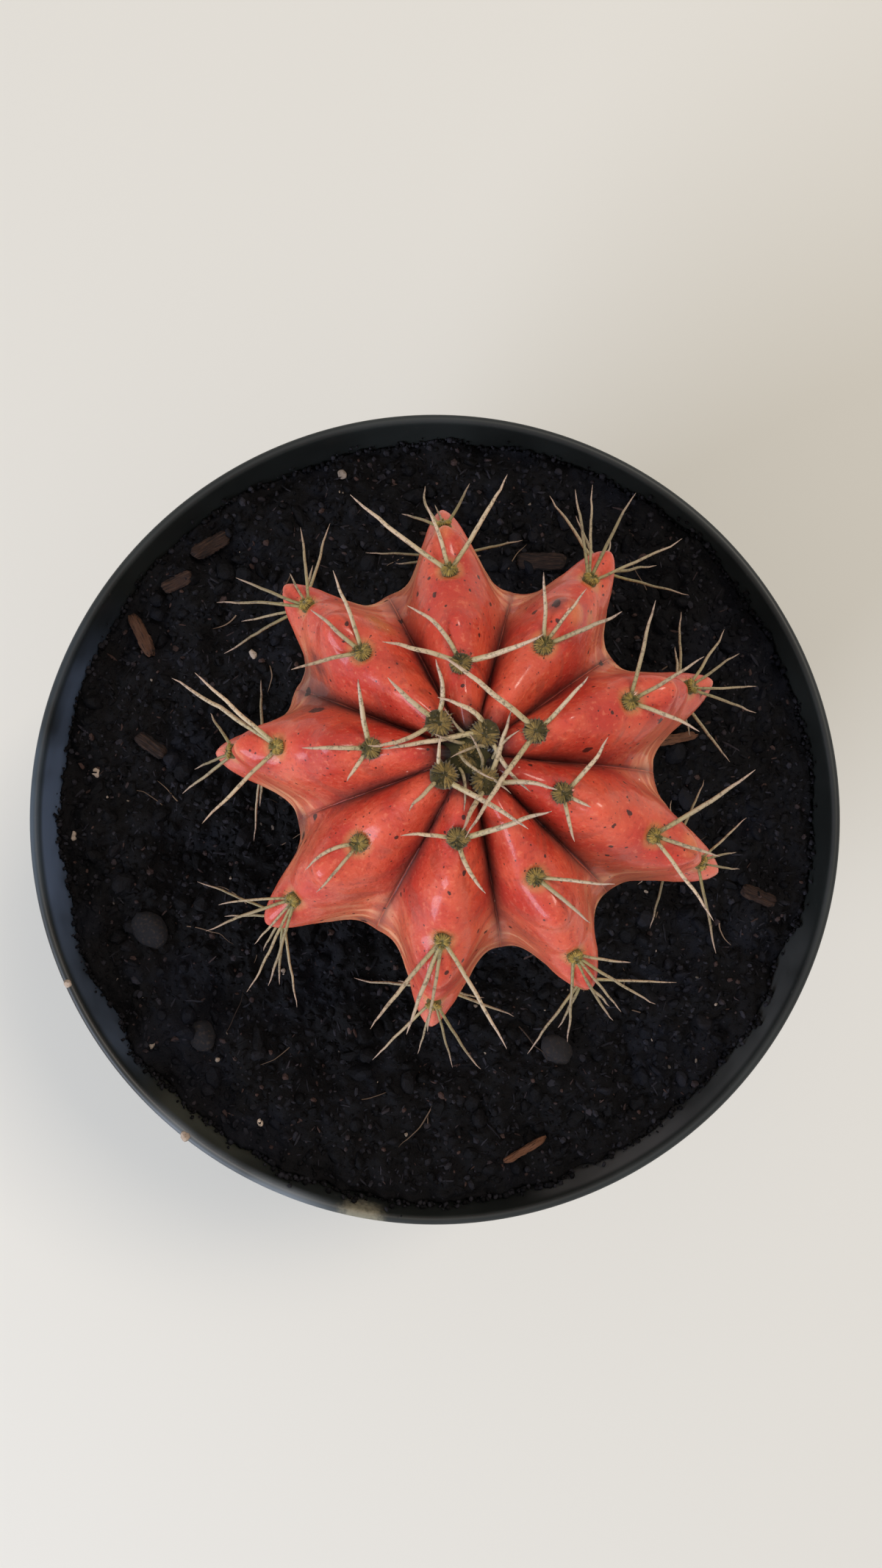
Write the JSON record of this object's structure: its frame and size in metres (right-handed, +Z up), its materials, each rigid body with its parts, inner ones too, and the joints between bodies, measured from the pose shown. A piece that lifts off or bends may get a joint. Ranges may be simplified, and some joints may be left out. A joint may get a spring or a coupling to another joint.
{
  "type": "potted moon cactus",
  "caption": "Coral-red ribbed moon cactus with felted areoles and pale spines, grafted on a short green stem, growing in a round dark plastic pot of black soil.",
  "frame": {"origin": "middle of the pot's foot, on the surface that it stands on", "axes": "+Z up along the pot's axis; +Y is the top of the picture and +X its right"},
  "size_m": [0.1, 0.1, 0.1366],
  "materials": {
    "pot_plastic": "satin",
    "soil": "matte",
    "green_flesh": "satin",
    "red_flesh": "satin",
    "bark": "matte",
    "areole_felt": "matte",
    "spine": "satin",
    "grit": "matte"
  },
  "bodies": {
    "root": {"pot": "pot_plastic", "soil": "soil", "rootstock": "green_flesh", "scion": "red_flesh", "bark_chip_1": "bark", "bark_chip_2": "bark", "bark_chip_3": "bark", "bark_chip_4": "bark", "bark_chip_5": "bark", "bark_chip_6": "bark", "bark_chip_7": "bark", "bark_chip_8": "bark"}
  },
  "joints": []
}
